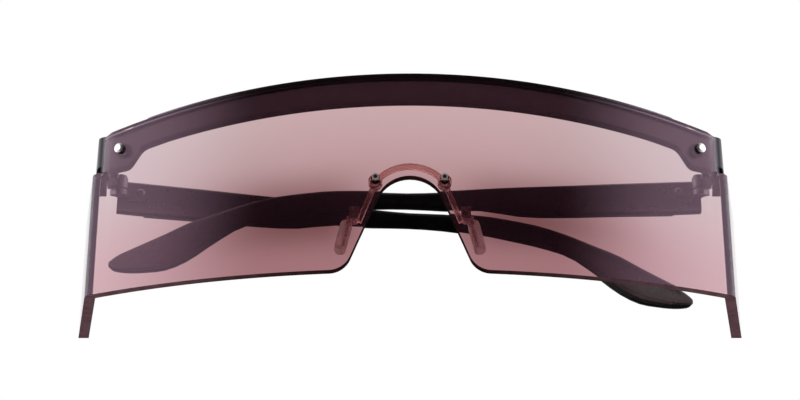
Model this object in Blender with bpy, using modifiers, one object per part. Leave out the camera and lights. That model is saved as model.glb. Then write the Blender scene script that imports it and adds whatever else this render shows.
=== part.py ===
"""Wraparound shield sunglasses with folded temples, standing on the lower edge of the lens.

Metres, +Z up, +X to the wearer's left, the front of the lens towards -Y. The origin lies on the
plane that the lens stands on, in the middle of the width and of the depth.
"""
import math

import bmesh
import bpy
from mathutils import Matrix, Vector

# Clearances and counts
GAP = 0.0003
OVERRUN = 0.004
WELD = 0.0000005
ARC_STEP = math.radians(9)
ROUND_STEPS = 20

# Shield lens: one curved pane with two side wings
LENS_RADIUS = 0.160
LENS_THICKNESS = 0.0025
LENS_HEIGHT = 0.0473
LENS_DEPTH = 0.0511
LENS_ARCH_RADIUS = 0.357
LENS_SIDE_INSET = 0.0040
LENS_SIDE_FLARE = 0.0019
LENS_SIDE_SLANT = math.radians(42)
LENS_CORNER_ROUND = 0.0005
FOLD_OUTSET = 0.0003
FOLD_ROUND = 0.0028
WING_SHARE = 0.6403
WING_SPLAY = math.radians(12.0)
WING_ROUND = 0.0007
NOTCH_RADIUS = 0.0079
NOTCH_HEIGHT = 0.0222
NOTCH_FLARE = math.radians(23)
NOTCH_FOOT_ROUND = 0.0050
WRAP_STEPS = 30

# Brow bar with its end pieces
BAR_THICKNESS = 0.0030
BAR_PROUD = 0.0018
BAR_HEIGHT = 0.0073
BAR_BOTTOM_RADIUS = 0.368
BAR_TOP_SHARE = 0.8322
BAR_STEP_ROUND = 0.0022
SHOULDER_SHARE = 0.8405
SHOULDER_DROP = 0.0111
SHOULDER_ROUND = 0.0032
STEP_SHARE = 0.8810
END_HALF = 0.0746
END_ROUND = 0.0022
END_TOP_ROUND = 0.0012
END_WALL = 0.0041
END_SPLAY = math.radians(11.5)
END_BOTTOM_DROP = 0.0156
END_TOP_DROP = 0.0063
STEP_TOP_DROP = 0.0063
END_REAR_BACK = 0.0012
END_REAR_BOTTOM_DROP = 0.01665
END_REAR_TOP_DROP = 0.0104

# Screws that hold the lens corners to the bar
LENS_SCREW_INSET = 0.00625
LENS_SCREW_DROP = 0.01175
LENS_SCREW_HEAD_RADIUS = 0.00118
LENS_SCREW_HEAD = 0.0006
LENS_SCREW_SHANK = 0.0006
LENS_NUT_RADIUS = 0.0017
LENS_NUT_THICKNESS = 0.0014

# Nose bridge, its screws and nuts
BRIDGE_ARCH_RADIUS = 0.0098
BRIDGE_TOP = 0.0257
BRIDGE_RISE = 0.0011
BRIDGE_DEPTH = 0.0014
BRIDGE_EYE_HALF = 0.0078
BRIDGE_EYE_RADIUS = 0.0016
BRIDGE_EYE_PROUD = 0.0002
BRIDGE_LEG_HALF = 0.0114
BRIDGE_LEG_FOOT = 0.0122
BRIDGE_LEG_WIDTH = 0.0010
BRIDGE_SCREW_SHANK = 0.00065
BRIDGE_SCREW_HEAD_RADIUS = 0.00080
BRIDGE_SCREW_HEAD = 0.00035
BRIDGE_NUT_RADIUS = 0.0014
BRIDGE_NUT_THICKNESS = 0.0010

# Nose pads, their arms and cores
ARM_BLOCK_OUTER = 0.0137
ARM_BLOCK_WIDTH = 0.0022
ARM_BLOCK_DEPTH = 0.0014
ARM_BLOCK_HEIGHT = 0.0028
ARM_BLOCK_DROP = 0.0011
ARM_PIN_RADIUS = 0.00045
PAD_AXIS_HALF = 0.0127
PAD_AXIS_HEIGHT = 0.0147
PAD_EYE_Y = 0.0076
PAD_EYE_DEPTH = 0.0014
PAD_EYE_WALL = 0.0005
PAD_WEB_END = 0.0145
PAD_LENGTH = 0.0076
PAD_WIDTH = 0.0048
PAD_THICKNESS = 0.0027
PAD_ROUND = 0.0011
PAD_TILT = math.radians(13)
PAD_SPLAY = math.radians(5)
PAD_CENTRE_HALF = 0.0151
PAD_CENTRE_Y = 0.0092
PAD_CENTRE_HEIGHT = 0.0105
CORE_THICKNESS = 0.00055
CORE_INNER_SKIN = 0.00035
CORE_BORDER = 0.0007
CORE_PROUD = 0.0003
CORE_RISE = 0.0012

# Hinges between end pieces and temples
HINGE_INSET = 0.0042
HINGE_BACK = 0.01387
HINGE_DROP = 0.0134
KNUCKLE_RADIUS = 0.0016
KNUCKLE_SPLIT_DROP = 0.0010
FRAME_KNUCKLE = 0.0029
TEMPLE_KNUCKLE = 0.0014
HINGE_PIN_RADIUS = 0.00055
HINGE_HEAD_RADIUS = 0.00125
HINGE_HEAD = 0.0006
FRAME_LEAF_INNER = 0.0008
FRAME_LEAF_THICKNESS = 0.00165
FRAME_LEAF_LENGTH = 0.0090
LEAF_SCREW_BACK = 0.0055
LEAF_SCREW_HEAD_RADIUS = 0.00095
LEAF_SCREW_HEAD = 0.0005
LEAF_SCREW_SHANK = 0.0004
LEAF_SCREW_BITE = 0.0016
TEMPLE_LEAF_THICKNESS = 0.0010
TEMPLE_LEAF_LENGTH = 0.0070
TEMPLE_LEAF_HEIGHT = 0.0040
TEMPLE_LEAF_START = 0.0012
RIVET_BACK = 0.0048
RIVET_DROP = 0.0009
RIVET_HEAD_RADIUS = 0.0010
RIVET_HEAD = 0.0004
RIVET_SHANK = 0.00045
RIVET_BITE = 0.0008

# Temples
TEMPLE_SPAN_SHARE = 0.9978
TEMPLE_OVERHANG = 0.0009
TEMPLE_FACE = 0.0030
TEMPLE_ROOT_THICKNESS = 0.0034
TEMPLE_TIP_THICKNESS = 0.0027
TEMPLE_ROOT_TOP = 0.00285
TEMPLE_DROP = 0.02972
TEMPLE_BOW = 0.0140
TEMPLE_TIP_ROUNDING = 0.0035
RELIEF_DEPTH = 0.0016
RELIEF_LENGTH = 0.0058
RELIEF_ABOVE_WING = 0.0004
TEMPLE_RING = 20
TEMPLE_STATIONS = 44
TEMPLE_BOX_POWER = 6.0
TEMPLE_OVAL_POWER = 2.4
# Each row: share of the length from the hinge, then the drops of the top edge and of the
# bottom edge below the root's top, as shares of the whole drop.
TEMPLE_PROFILE_SHARES = (
    (-0.0064, 0.000, 0.282),
    (0, 0.000, 0.286),
    (0.142, 0.032, 0.309),
    (0.225, 0.057, 0.329),
    (0.300, 0.079, 0.337),
    (0.334, 0.091, 0.318),
    (0.377, 0.110, 0.294),
    (0.426, 0.133, 0.300),
    (0.504, 0.161, 0.299),
    (0.568, 0.167, 0.316),
    (0.639, 0.188, 0.363),
    (0.688, 0.226, 0.412),
    (0.738, 0.278, 0.469),
    (0.788, 0.361, 0.552),
    (0.83, 0.449, 0.695),
    (0.873, 0.540, 0.863),
    (0.908, 0.641, 0.954),
    (0.937, 0.722, 0.984),
    (0.965, 0.799, 1.000),
    (0.983, 0.851, 0.999),
    (0.9936, 0.892, 0.989),
    (1, 0.924, 0.961),
)
WIRE_RADIUS = 0.0004
WIRE_START = 0.0010
WIRE_END_SHARE = 0.8375
WIRE_SHARE = 0.62
WIRE_HEIGHT_SHARE = 0.26
WIRE_POINTS = 30

# Fold at rest, measured from a temple lying straight across the width
FOLD_OUTER = math.radians(9.3)
FOLD_INNER = math.radians(-1.3)

QUARTER = math.pi / 2


def wrap_y(half, inset):
    """Depth of the wrap curve that lies inset behind the lens's front face."""
    radius = LENS_RADIUS - inset
    return LENS_RADIUS - math.sqrt(radius * radius - half * half)


# Places that follow from the sizes above
WING_HEIGHT = LENS_HEIGHT * WING_SHARE
LENS_SIDE_HALF = END_HALF - LENS_SIDE_INSET
LENS_REAR_HALF = LENS_SIDE_HALF + LENS_SIDE_FLARE
FOLD_HALF = END_HALF + FOLD_OUTSET
LENS_SCREW_HALF = END_HALF - LENS_SCREW_INSET
HINGE_Y = wrap_y(END_HALF, LENS_THICKNESS + GAP) + HINGE_BACK
BAR_TOP_HALF = END_HALF * BAR_TOP_SHARE
SHOULDER_HALF = END_HALF * SHOULDER_SHARE
STEP_HALF = END_HALF * STEP_SHARE
SHOULDER_HEIGHT = LENS_HEIGHT - SHOULDER_DROP
END_BOTTOM = LENS_HEIGHT - END_BOTTOM_DROP
END_TOP = LENS_HEIGHT - END_TOP_DROP
STEP_TOP = LENS_HEIGHT - STEP_TOP_DROP
END_REAR_Y = HINGE_Y - END_REAR_BACK
END_REAR_BOTTOM = LENS_HEIGHT - END_REAR_BOTTOM_DROP
END_REAR_TOP = LENS_HEIGHT - END_REAR_TOP_DROP
LENS_SCREW_HEIGHT = LENS_HEIGHT - LENS_SCREW_DROP
HINGE_HALF = END_HALF - HINGE_INSET
HINGE_HEIGHT = LENS_HEIGHT - HINGE_DROP
TEMPLE_LENGTH = 2 * HINGE_HALF * TEMPLE_SPAN_SHARE
WIRE_END = TEMPLE_LENGTH * WIRE_END_SHARE

COLOURS = {
    "lens": ((0.55, 0.33, 0.35, 1.0), 0.05, 0.0, 0.85),
    "frame": ((0.012, 0.011, 0.013, 1.0), 0.22, 0.0, 0.0),
    "bridge": ((0.48, 0.22, 0.22, 1.0), 0.15, 0.0, 0.6),
    "pad": ((0.70, 0.52, 0.52, 1.0), 0.45, 0.0, 0.5),
    "core": ((0.16, 0.03, 0.035, 1.0), 0.40, 0.0, 0.0),
    "arm": ((0.30, 0.24, 0.26, 1.0), 0.20, 0.0, 0.6),
    "steel": ((0.72, 0.71, 0.70, 1.0), 0.22, 1.0, 0.0),
    "dark_steel": ((0.10, 0.095, 0.10, 1.0), 0.35, 1.0, 0.0),
}


def clear_scene():
    for obj in list(bpy.data.objects):
        bpy.data.objects.remove(obj, do_unlink=True)


def new_collection(name):
    collection = bpy.data.collections.new(name)
    bpy.context.scene.collection.children.link(collection)
    return collection


def make_materials():
    made = {}
    for name, (colour, roughness, metallic, transmission) in COLOURS.items():
        material = bpy.data.materials.new(name)
        material.use_nodes = True
        shader = material.node_tree.nodes["Principled BSDF"]
        shader.inputs["Base Color"].default_value = colour
        shader.inputs["Roughness"].default_value = roughness
        shader.inputs["Metallic"].default_value = metallic
        shader.inputs["Transmission Weight"].default_value = transmission
        material.diffuse_color = colour
        made[name] = material
    return made


def finish(obj, material, smooth=True):
    """Give an object its material and shade its round faces smooth."""
    obj.data.materials.clear()
    obj.data.materials.append(MATERIALS[material])
    if smooth:
        obj.data.shade_smooth()
        obj.data.set_sharp_from_angle(angle=math.radians(35))
    return obj


def add_object(name, mesh, tool=False):
    obj = bpy.data.objects.new(name, mesh)
    if tool:
        CUTTERS.objects.link(obj)
        obj.hide_render = True
        obj.display_type = "WIRE"
    else:
        PARTS.objects.link(obj)
    return obj


def mesh_from(bm, name, side=1):
    """Turn a bmesh drawn for the +X side into a mesh, mirrored for side -1."""
    if side < 0:
        bmesh.ops.scale(bm, vec=(-1, 1, 1), verts=bm.verts)
        bmesh.ops.reverse_faces(bm, faces=bm.faces)
    mesh = bpy.data.meshes.new(name)
    bm.to_mesh(mesh)
    bm.free()
    return mesh


def curve_to_mesh(curve, name):
    """Evaluate a curve, weld its caps and return it as a closed or open mesh."""
    guide = bpy.data.objects.new(name + "_guide", curve)
    CUTTERS.objects.link(guide)
    graph = bpy.context.evaluated_depsgraph_get()
    graph.update()
    mesh = bpy.data.meshes.new_from_object(guide.evaluated_get(graph))
    bpy.data.objects.remove(guide, do_unlink=True)
    bm = bmesh.new()
    bm.from_mesh(mesh)
    bmesh.ops.remove_doubles(bm, verts=bm.verts, dist=WELD)
    bmesh.ops.recalc_face_normals(bm, faces=bm.faces)
    bm.to_mesh(mesh)
    bm.free()
    mesh.name = name
    return mesh


def facing_rotation(axis):
    """Rotation that lays a drawing of (first, second) coordinates across the named axis."""
    if axis == "Y":
        return (QUARTER, 0, 0)
    if axis == "X":
        return (QUARTER, 0, QUARTER)
    return (0, 0, 0)


def outline_solid(name, outline, low, high, axis, tool=True):
    """A flat outline filled and extruded from low to high along the axis."""
    curve = bpy.data.curves.new(name, "CURVE")
    curve.dimensions = "2D"
    curve.fill_mode = "BOTH"
    curve.extrude = (high - low) / 2
    spline = curve.splines.new("POLY")
    spline.points.add(len(outline) - 1)
    for point, (u, v) in zip(spline.points, outline):
        point.co = (u, v, 0, 1)
    spline.use_cyclic_u = True
    obj = add_object(name, curve_to_mesh(curve, name), tool)
    middle = (low + high) / 2
    obj.rotation_euler = facing_rotation(axis)
    obj.location = {"X": (middle, 0, 0), "Y": (0, middle, 0), "Z": (0, 0, middle)}[axis]
    return obj


def ribbon_shell(name, plan, low, high, thickness):
    """An upright strip along a plan line, thickened towards the back by Solidify."""
    curve = bpy.data.curves.new(name, "CURVE")
    curve.dimensions = "3D"
    curve.extrude = (high - low) / 2
    spline = curve.splines.new("POLY")
    spline.points.add(len(plan) - 1)
    for point, (x, y) in zip(spline.points, plan):
        point.co = (x, y, 0, 1)
    mesh = curve_to_mesh(curve, name)
    bm = bmesh.new()
    bm.from_mesh(mesh)
    middle = min(bm.faces, key=lambda face: abs(face.calc_center_median().x))
    if middle.normal.y > 0:
        bmesh.ops.reverse_faces(bm, faces=bm.faces)
    bm.to_mesh(mesh)
    bm.free()
    obj = add_object(name, mesh)
    obj.location = (0, 0, (low + high) / 2)
    shell = obj.modifiers.new("thickness", "SOLIDIFY")
    shell.thickness = thickness
    shell.offset = -1
    shell.use_even_offset = True
    return obj


def box(name, low, high, tool=True):
    bm = bmesh.new()
    bmesh.ops.create_cube(bm, size=1)
    size = [b - a for a, b in zip(low, high)]
    bmesh.ops.scale(bm, vec=size, verts=bm.verts)
    obj = add_object(name, mesh_from(bm, name), tool)
    obj.location = [(a + b) / 2 for a, b in zip(low, high)]
    return obj


def mirrored_box(name, low, high, side, tool=True):
    """A box drawn on the +X side, moved to the given side."""
    ends = sorted((side * low[0], side * high[0]))
    return box(name, (ends[0], low[1], low[2]), (ends[1], high[1], high[2]), tool)


def rod(name, radius, start, end, segments=ROUND_STEPS, tool=True):
    """A round or, with few segments, many-sided bar between two points."""
    start, end = Vector(start), Vector(end)
    bm = bmesh.new()
    bmesh.ops.create_cone(bm, cap_ends=True, segments=segments, radius1=radius, radius2=radius,
                          depth=(end - start).length)
    obj = add_object(name, mesh_from(bm, name), tool)
    obj.location = (start + end) / 2
    obj.rotation_euler = (end - start).to_track_quat("Z", "Y").to_euler()
    return obj


def turned(name, profile, place, direction, tool=False):
    """A profile of (radius, height) from top to bottom, turned about its own upright axis."""
    mesh = bpy.data.meshes.new(name)
    vertices = [(radius, 0, height) for radius, height in profile]
    mesh.from_pydata(vertices, [(i, i + 1) for i in range(len(profile) - 1)], [])
    obj = add_object(name, mesh, tool)
    screw = obj.modifiers.new("turn", "SCREW")
    screw.steps = ROUND_STEPS
    screw.render_steps = ROUND_STEPS
    screw.use_merge_vertices = True
    screw.merge_threshold = WELD
    screw.use_smooth_shade = True
    obj.location = place
    obj.rotation_euler = Vector(direction).to_track_quat("Z", "Y").to_euler()
    return obj


def combine(target, tool, operation):
    modifier = target.modifiers.new(tool.name, "BOOLEAN")
    modifier.operation = operation
    modifier.solver = "EXACT"
    modifier.object = tool
    return target


def pivot(name, place, turn):
    """An empty on a joint's axis, turned to the joint's rest position."""
    empty = bpy.data.objects.new(name, None)
    empty.location = place
    empty.rotation_euler = (0, 0, turn)
    PARTS.objects.link(empty)
    return empty


def arc(centre, radius, start, end):
    """Points of an arc from one angle to another, both included."""
    steps = max(2, math.ceil(abs(end - start) / ARC_STEP))
    angles = [start + (end - start) * i / steps for i in range(steps + 1)]
    return [(centre[0] + radius * math.cos(a), centre[1] + radius * math.sin(a)) for a in angles]


def rounded(corners):
    """An open chain of (u, v, radius) with each inner corner that has a radius rounded."""
    points = [corners[0][:2]]
    for before, here, after in zip(corners, corners[1:], corners[2:]):
        corner, radius = Vector(here[:2]), here[2]
        if radius == 0:
            points.append(tuple(corner))
            continue
        back = (Vector(before[:2]) - corner).normalized()
        ahead = (Vector(after[:2]) - corner).normalized()
        half = math.acos(max(-1, min(1, back.dot(ahead)))) / 2
        reach = radius / math.tan(half)
        centre = corner + (back + ahead).normalized() * radius / math.sin(half)
        first, last = corner + back * reach - centre, corner + ahead * reach - centre
        start = math.atan2(first.y, first.x)
        turn = (math.atan2(last.y, last.x) - start + math.pi) % math.tau - math.pi
        points += arc(centre, radius, start, start + turn)
    points.append(corners[-1][:2])
    return points


def both_sides(half):
    """A closed outline from its right half, listed from the lower middle to the upper middle."""
    left = [(-u, v) for u, v in reversed(half) if abs(u) > WELD]
    return list(half) + left


def wrap_plan(inset, corner_half, corner_round, splay):
    """Plan line of a wrapped front: the curve, a rounded fold and a straight side, both sides."""
    radius = LENS_RADIUS - inset
    slope = math.asin(corner_half / radius)
    reach = corner_round * math.tan((QUARTER - splay - slope) / 2)
    last = corner_half - reach * math.cos(slope)
    xs = [last * i / WRAP_STEPS for i in range(WRAP_STEPS)]
    half = [(x, wrap_y(x, inset)) for x in xs]
    corner = (corner_half, wrap_y(corner_half, inset))
    end_y = LENS_DEPTH + OVERRUN
    end = (corner_half + (end_y - corner[1]) * math.tan(splay), end_y)
    half += rounded([(last, wrap_y(last, inset)), (*corner, corner_round * (1 - WELD)), end])[1:]
    return [(-x, y) for x, y in reversed(half[1:])] + half


def make_lens():
    """The pane: a thickened strip kept inside its front outline and its side outline."""
    plan = wrap_plan(0, FOLD_HALF, FOLD_ROUND, WING_SPLAY)
    lens = ribbon_shell("shield_lens", plan, -OVERRUN, LENS_HEIGHT + OVERRUN, LENS_THICKNESS)
    notch_centre = NOTCH_HEIGHT - NOTCH_RADIUS
    notch = arc((0, notch_centre), NOTCH_RADIUS, QUARTER, NOTCH_FLARE)
    side_x, side_z = notch[-1]
    foot = side_x + side_z * math.tan(NOTCH_FLARE)
    far = FOLD_HALF + LENS_DEPTH
    arch_side = arch_height(LENS_REAR_HALF, LENS_HEIGHT, LENS_ARCH_RADIUS)
    near_side = LENS_REAR_HALF - 2 * LENS_CORNER_ROUND
    half = notch + rounded([
        (side_x, side_z, 0),
        (foot, 0, NOTCH_FOOT_ROUND),
        (far, 0, 0),
        (far, WING_HEIGHT, 0),
        (LENS_REAR_HALF, WING_HEIGHT, GAP),
        (LENS_REAR_HALF, arch_side, LENS_CORNER_ROUND),
        (near_side, arch_height(near_side, LENS_HEIGHT, LENS_ARCH_RADIUS), 0),
    ])[1:]
    half += arch_points(near_side, LENS_HEIGHT, LENS_ARCH_RADIUS)
    front = outline_solid("lens_front_outline", both_sides(half), -OVERRUN, LENS_DEPTH + 2 * OVERRUN,
                          "Y")
    combine(lens, front, "INTERSECT")
    side = rounded([
        (-OVERRUN, 0, 0),
        (-OVERRUN, -OVERRUN, 0),
        (LENS_DEPTH, -OVERRUN, 0),
        (LENS_DEPTH, LENS_HEIGHT + OVERRUN, 0),
        (-OVERRUN, LENS_HEIGHT + OVERRUN, 0),
        (-OVERRUN, 0, 0),
    ])[:-1]
    combine(lens, outline_solid("lens_side_outline", side, -far, far, "X"), "INTERSECT")
    for name, sign in (("left", -1), ("right", 1)):
        combine(lens, side_cutter(name, sign), "DIFFERENCE")
        for part, height, sense in (("low", 0, 1), ("high", WING_HEIGHT, -1)):
            combine(lens, corner_cutter(name + "_" + part, sign, height, sense), "DIFFERENCE")
        combine(lens, lens_screw_hole(name, sign), "DIFFERENCE")
        combine(lens, bridge_hole(name, sign), "DIFFERENCE")
    return finish(lens, "lens")


def side_cutter(name, sign):
    """A wedge that slants the pane's side edge, above the wing, out towards its rear face."""
    edge = lens_point(LENS_SIDE_HALF, sign, 0)
    reach = LENS_THICKNESS + OVERRUN
    lean = math.tan(LENS_SIDE_SLANT)
    front = (edge.x - sign * OVERRUN * lean, edge.y - OVERRUN)
    rear = (edge.x + sign * reach * lean, edge.y + reach)
    outline = [front, (edge.x, edge.y), rear, (rear[0], front[1])]
    return outline_solid("lens_side_" + name, outline, WING_HEIGHT, LENS_HEIGHT + OVERRUN, "Z")


def corner_cutter(name, sign, height, sense):
    """A wedge with a hollow side that rounds one rear corner of a wing."""
    centre = (LENS_DEPTH - WING_ROUND, height + sense * WING_ROUND)
    start, end = (0, -sense * QUARTER)
    curve = arc(centre, WING_ROUND, start, end)
    past = (LENS_DEPTH + OVERRUN, height - sense * OVERRUN)
    outline = [(past[0], centre[1])] + curve + [(centre[0], past[1]), past]
    near, far = sorted((sign * LENS_SIDE_HALF, sign * (FOLD_HALF + LENS_DEPTH)))
    return outline_solid("wing_corner_" + name, outline, near, far, "X")


def arch_height(half, top, radius):
    return top - radius + math.sqrt(radius * radius - half * half)


def arch_points(half, top, radius):
    """Points of an arched edge from its right end to the middle."""
    steps = WRAP_STEPS
    xs = [half * (steps - i) / steps for i in range(1, steps + 1)]
    return [(x, arch_height(x, top, radius)) for x in xs]


def lens_normal(half, sign):
    """Direction that points out of the lens's front face at a place across its width."""
    lean = math.asin(half / LENS_RADIUS)
    return Vector((sign * math.sin(lean), -math.cos(lean), 0))


def lens_point(half, sign, height):
    return Vector((sign * half, wrap_y(half, 0), height))


def lens_screw_hole(name, sign):
    place = lens_point(LENS_SCREW_HALF, sign, LENS_SCREW_HEIGHT)
    out = lens_normal(LENS_SCREW_HALF, sign)
    inner = place - out * (LENS_THICKNESS + OVERRUN)
    return rod("lens_hole_" + name, LENS_SCREW_SHANK + GAP, inner, place + out * OVERRUN)


def bridge_hole(name, sign):
    start = (sign * BRIDGE_EYE_HALF, -OVERRUN, eye_height())
    end = (sign * BRIDGE_EYE_HALF, bridge_front() + BRIDGE_DEPTH + OVERRUN, eye_height())
    return rod("bridge_hole_" + name, BRIDGE_SCREW_SHANK + GAP, start, end)


def make_bar():
    """The bar behind the lens top, whose ends turn back to carry the hinges."""
    inset = LENS_THICKNESS + GAP
    top = LENS_HEIGHT + BAR_PROUD
    outer = wrap_plan(inset, END_HALF, END_ROUND, END_SPLAY)
    inner = wrap_plan(inset + BAR_THICKNESS, END_HALF - END_WALL, END_ROUND, END_SPLAY)
    inner.reverse()
    bar = outline_solid("brow_bar", outer + inner, WING_HEIGHT - OVERRUN, top + OVERRUN, "Z",
                        tool=False)
    bottom = top - BAR_HEIGHT
    far = END_HALF + LENS_DEPTH
    low_half = SHOULDER_HALF - 2 * SHOULDER_ROUND
    low_arch = arch_points(low_half, bottom, BAR_BOTTOM_RADIUS)
    low_arch.reverse()
    top_radius = LENS_ARCH_RADIUS + BAR_PROUD
    half = low_arch + rounded([
        (low_half, arch_height(low_half, bottom, BAR_BOTTOM_RADIUS), 0),
        (SHOULDER_HALF, SHOULDER_HEIGHT, SHOULDER_ROUND),
        (STEP_HALF, END_BOTTOM, BAR_STEP_ROUND),
        (END_HALF - END_WALL, END_BOTTOM, 0),
        (END_HALF - END_WALL, END_REAR_BOTTOM - GAP, 0),
        (far, END_REAR_BOTTOM - GAP, 0),
        (far, END_TOP, 0),
        (END_HALF, END_TOP, 0),
        (STEP_HALF, STEP_TOP, BAR_STEP_ROUND),
        (BAR_TOP_HALF, arch_height(BAR_TOP_HALF, top, top_radius), BAR_STEP_ROUND),
        (BAR_TOP_HALF - BAR_STEP_ROUND,
         arch_height(BAR_TOP_HALF - BAR_STEP_ROUND, top, top_radius), 0),
    ])
    half += arch_points(BAR_TOP_HALF - BAR_STEP_ROUND, top, top_radius)
    front = outline_solid("bar_front_outline", both_sides(half), -OVERRUN, LENS_DEPTH + 2 * OVERRUN,
                          "Y")
    combine(bar, front, "INTERSECT")
    turn_y = wrap_y(END_HALF, inset)
    side = [
        (-OVERRUN, END_REAR_BOTTOM - OVERRUN),
        (turn_y, END_REAR_BOTTOM - OVERRUN),
        (turn_y, END_BOTTOM),
        (END_REAR_Y, END_REAR_BOTTOM),
        (END_REAR_Y, END_REAR_TOP),
        (turn_y + END_ROUND, END_TOP + GAP),
        (turn_y - END_ROUND, top + OVERRUN),
        (-OVERRUN, top + 2 * OVERRUN),
    ]
    combine(bar, outline_solid("bar_side_outline", side, -far, far, "X"), "INTERSECT")
    for name, sign in (("left", -1), ("right", 1)):
        combine(bar, leaf_pocket(name, sign), "DIFFERENCE")
        combine(bar, lens_nut_pocket(name, sign), "DIFFERENCE")
        combine(bar, leaf_screw_hole(name, sign), "DIFFERENCE")
        combine(bar, end_top_cutter(name, sign), "DIFFERENCE")
    return finish(bar, "frame")


def end_top_cutter(name, sign):
    """A wedge with a hollow side that rounds the outer top edge of an end piece."""
    centre = (END_HALF - END_TOP_ROUND, END_TOP - END_TOP_ROUND)
    curve = arc(centre, END_TOP_ROUND, 0, QUARTER)
    outline = [(sign * x, z) for x, z in curve]
    outline += [(sign * centre[0], END_TOP + OVERRUN), (sign * (END_HALF + OVERRUN), END_TOP + OVERRUN),
                (sign * (END_HALF + OVERRUN), centre[1])]
    turn_y = wrap_y(END_HALF, LENS_THICKNESS + GAP)
    tool = outline_solid("end_top_" + name, outline, -OVERRUN, LENS_DEPTH, "Y")
    turn = Matrix.Rotation(-sign * END_SPLAY, 4, "Z")
    hub = Vector((sign * END_HALF, turn_y, 0))
    tool.matrix_world = Matrix.Translation(hub) @ turn @ Matrix.Translation(-hub)
    return tool


def leaf_pocket(name, sign):
    """Space cut into the end piece's inner wall for the fixed half of the hinge."""
    outer = HINGE_HALF + FRAME_LEAF_INNER + FRAME_LEAF_THICKNESS + GAP
    low = (HINGE_HALF - OVERRUN, HINGE_Y - FRAME_LEAF_LENGTH - GAP, END_REAR_BOTTOM - OVERRUN)
    high = (outer, HINGE_Y + OVERRUN, END_TOP + OVERRUN)
    return mirrored_box("leaf_pocket_" + name, low, high, sign)


def lens_nut_pocket(name, sign):
    out = lens_normal(LENS_SCREW_HALF, sign)
    face = lens_point(LENS_SCREW_HALF, sign, LENS_SCREW_HEIGHT) - out * (LENS_THICKNESS + GAP)
    depth = LENS_NUT_THICKNESS + GAP
    return rod("nut_pocket_" + name, LENS_NUT_RADIUS + GAP, face - out * depth, face + out * OVERRUN)


def leaf_screw_hole(name, sign):
    inner = HINGE_HALF + FRAME_LEAF_INNER + FRAME_LEAF_THICKNESS
    y, z = HINGE_Y - LEAF_SCREW_BACK, leaf_screw_height()
    start = (sign * (inner - OVERRUN), y, z)
    end = (sign * (inner + GAP + LEAF_SCREW_BITE), y, z)
    return rod("leaf_screw_hole_" + name, LEAF_SCREW_SHANK + GAP, start, end)


def make_lens_fasteners(name, sign):
    """A domed screw through a lens corner and the six-sided nut that it bites into."""
    out = lens_normal(LENS_SCREW_HALF, sign)
    place = lens_point(LENS_SCREW_HALF, sign, LENS_SCREW_HEIGHT) + out * GAP
    reach = 2 * GAP + LENS_THICKNESS + LENS_NUT_THICKNESS
    dome = LENS_SCREW_HEAD / 2
    screw = turned("lens_screw_" + name, [
        (0, LENS_SCREW_HEAD),
        (LENS_SCREW_HEAD_RADIUS * math.sin(math.radians(35)), LENS_SCREW_HEAD - dome / 4),
        (LENS_SCREW_HEAD_RADIUS, dome),
        (LENS_SCREW_HEAD_RADIUS, 0),
        (LENS_SCREW_SHANK, 0),
        (LENS_SCREW_SHANK, -reach),
        (0, -reach),
    ], place, out)
    finish(screw, "steel")
    face = place - out * (2 * GAP + LENS_THICKNESS)
    nut = rod("lens_nut_" + name, LENS_NUT_RADIUS, face - out * LENS_NUT_THICKNESS, face,
              segments=6, tool=False)
    combine(nut, rod("lens_nut_hole_" + name, LENS_SCREW_SHANK + GAP,
                     face - out * OVERRUN, face + out * OVERRUN), "DIFFERENCE")
    finish(nut, "dark_steel", smooth=False)


def bridge_front():
    """Depth of the bridge's front face, clear of the lens at the widest point of its legs."""
    return wrap_y(BRIDGE_LEG_HALF + BRIDGE_LEG_WIDTH, LENS_THICKNESS) + GAP


def bridge_rear():
    return bridge_front() + BRIDGE_DEPTH


def bridge_seat():
    """Depth at which the bridge screws' heads sit, just off the lens's front face."""
    return wrap_y(BRIDGE_EYE_HALF, 0) - GAP


def eye_height():
    """Height of the eyelets, which lie on the bridge's arch."""
    drop = BRIDGE_ARCH_RADIUS - math.sqrt(BRIDGE_ARCH_RADIUS ** 2 - BRIDGE_EYE_HALF ** 2)
    return BRIDGE_TOP - drop


def band(path, widths):
    """A closed outline that runs along a path, as wide as stated at each of its points."""
    left, right = [], []
    last = len(path) - 1
    for i, (point, width) in enumerate(zip(path, widths)):
        ahead = Vector(path[min(last, i + 1)]) - Vector(path[max(0, i - 1)])
        across = ahead.normalized().orthogonal() * width / 2
        left.append(tuple(Vector(point) + across))
        right.append(tuple(Vector(point) - across))
    return left + right[::-1]


def make_bridge():
    """The clear bridge: an arch, two eyelets and two legs that carry the pad arms."""
    centre = (0, BRIDGE_TOP - BRIDGE_ARCH_RADIUS)
    ends = math.acos(BRIDGE_EYE_HALF / BRIDGE_ARCH_RADIUS)
    arch = arc(centre, BRIDGE_ARCH_RADIUS, ends, math.pi - ends)
    path = [(BRIDGE_LEG_HALF, BRIDGE_LEG_FOOT)] + arch + [(-BRIDGE_LEG_HALF, BRIDGE_LEG_FOOT)]
    widths = [BRIDGE_LEG_WIDTH] + [BRIDGE_RISE] * len(arch) + [BRIDGE_LEG_WIDTH]
    front, rear = bridge_front(), bridge_rear()
    bridge = outline_solid("nose_bridge", band(path, widths), front, rear, "Y", tool=False)
    for name, sign in (("left", -1), ("right", 1)):
        x, z = sign * BRIDGE_EYE_HALF, eye_height()
        eye = rod("bridge_eye_" + name, BRIDGE_EYE_RADIUS, (x, front - BRIDGE_EYE_PROUD, z),
                  (x, rear + BRIDGE_EYE_PROUD, z))
        combine(bridge, eye, "UNION")
        combine(bridge, bpy.data.objects["bridge_hole_" + name], "DIFFERENCE")
    return finish(bridge, "bridge")


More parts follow.
